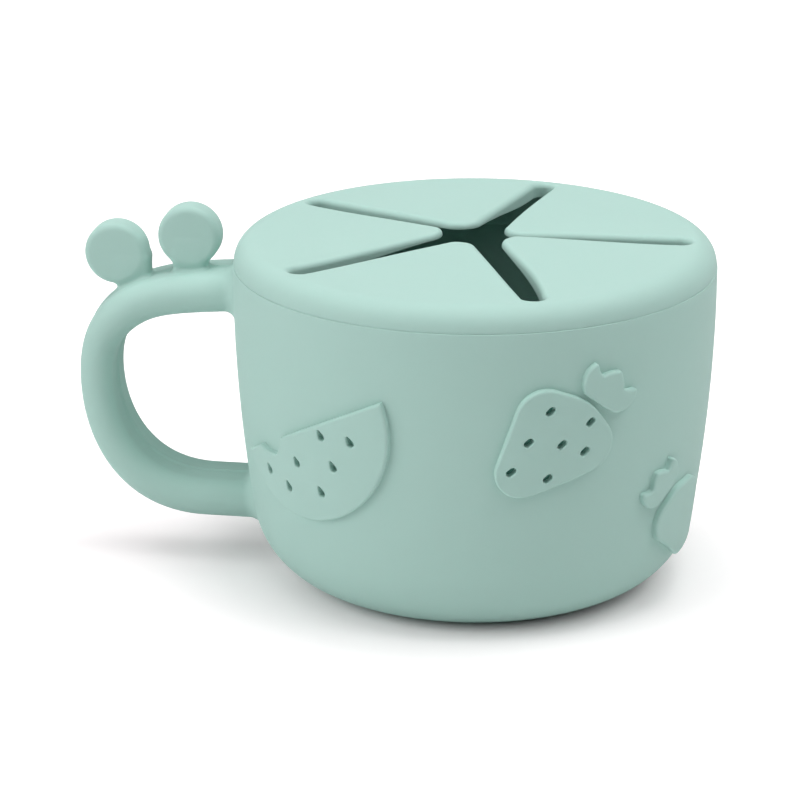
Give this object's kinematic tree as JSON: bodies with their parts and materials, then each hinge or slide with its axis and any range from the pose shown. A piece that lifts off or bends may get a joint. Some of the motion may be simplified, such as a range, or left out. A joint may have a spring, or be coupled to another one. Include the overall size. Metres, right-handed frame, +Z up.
{
  "type": "toddler snack container",
  "caption": "Soft silicone snack cup with a loop handle, raised fruit on its wall, and a lift-off lid cut into springy flaps that let a small hand in",
  "frame": {"origin": "on the cup's axis, in the plane of its flat base", "axes": "+Z up out of the lid, -X along the handle, +Y to the left of the handle's reach seen from above with the handle at the back"},
  "size_m": [0.1225, 0.0926, 0.0706],
  "materials": {
    "cup_silicone": "matte moulded silicone, sage to mint green",
    "lid_silicone": "matte moulded silicone, sage to mint green"
  },
  "bodies": {
    "cup": {"cup_bowl": "cup_silicone", "handle": "cup_silicone", "knob_inner": "cup_silicone", "knob_outer": "cup_silicone", "melon_front": "cup_silicone", "berry_front_high": "cup_silicone", "crown_front_high": "cup_silicone", "berry_front_low": "cup_silicone", "crown_front_low": "cup_silicone", "melon_back": "cup_silicone", "berry_back_high": "cup_silicone", "crown_back_high": "cup_silicone", "berry_back_low": "cup_silicone", "crown_back_low": "cup_silicone"},
    "lid": {"lid": "lid_silicone"},
    "flap_1": {"flap_1": "lid_silicone"},
    "flap_2": {"flap_2": "lid_silicone"},
    "flap_3": {"flap_3": "lid_silicone"},
    "flap_4": {"flap_4": "lid_silicone"},
    "flap_5": {"flap_5": "lid_silicone"}
  },
  "joints": [
    {"name": "lid_lift", "type": "slide", "parent": "cup", "child": "lid", "axis": [0, 0, 1], "range_m": [0, 0.03]},
    {"name": "flap_1_bend", "type": "hinge", "parent": "lid", "child": "flap_1", "pos_m": [0.02437, 0.02179, 0.0651], "axis": [0.6665, -0.7455, 0], "range_deg": [-35, 70], "stiffness_Nm_per_rad": 0.03},
    {"name": "flap_2_bend", "type": "hinge", "parent": "lid", "child": "flap_2", "pos_m": [-0.01319, 0.0299, 0.0651], "axis": [0.915, 0.4035, 0], "range_deg": [-35, 70], "stiffness_Nm_per_rad": 0.03},
    {"name": "flap_3_bend", "type": "hinge", "parent": "lid", "child": "flap_3", "pos_m": [-0.03252, -0.0033, 0.0651], "axis": [-0.1011, 0.9949, 0], "range_deg": [-35, 70], "stiffness_Nm_per_rad": 0.03},
    {"name": "flap_4_bend", "type": "hinge", "parent": "lid", "child": "flap_4", "pos_m": [-0.00691, -0.03195, 0.0651], "axis": [-0.9774, 0.2113, 0], "range_deg": [-35, 70], "stiffness_Nm_per_rad": 0.03},
    {"name": "flap_5_bend", "type": "hinge", "parent": "lid", "child": "flap_5", "pos_m": [0.02825, -0.01644, 0.0651], "axis": [-0.503, -0.8643, 0], "range_deg": [-35, 70], "stiffness_Nm_per_rad": 0.03}
  ]
}
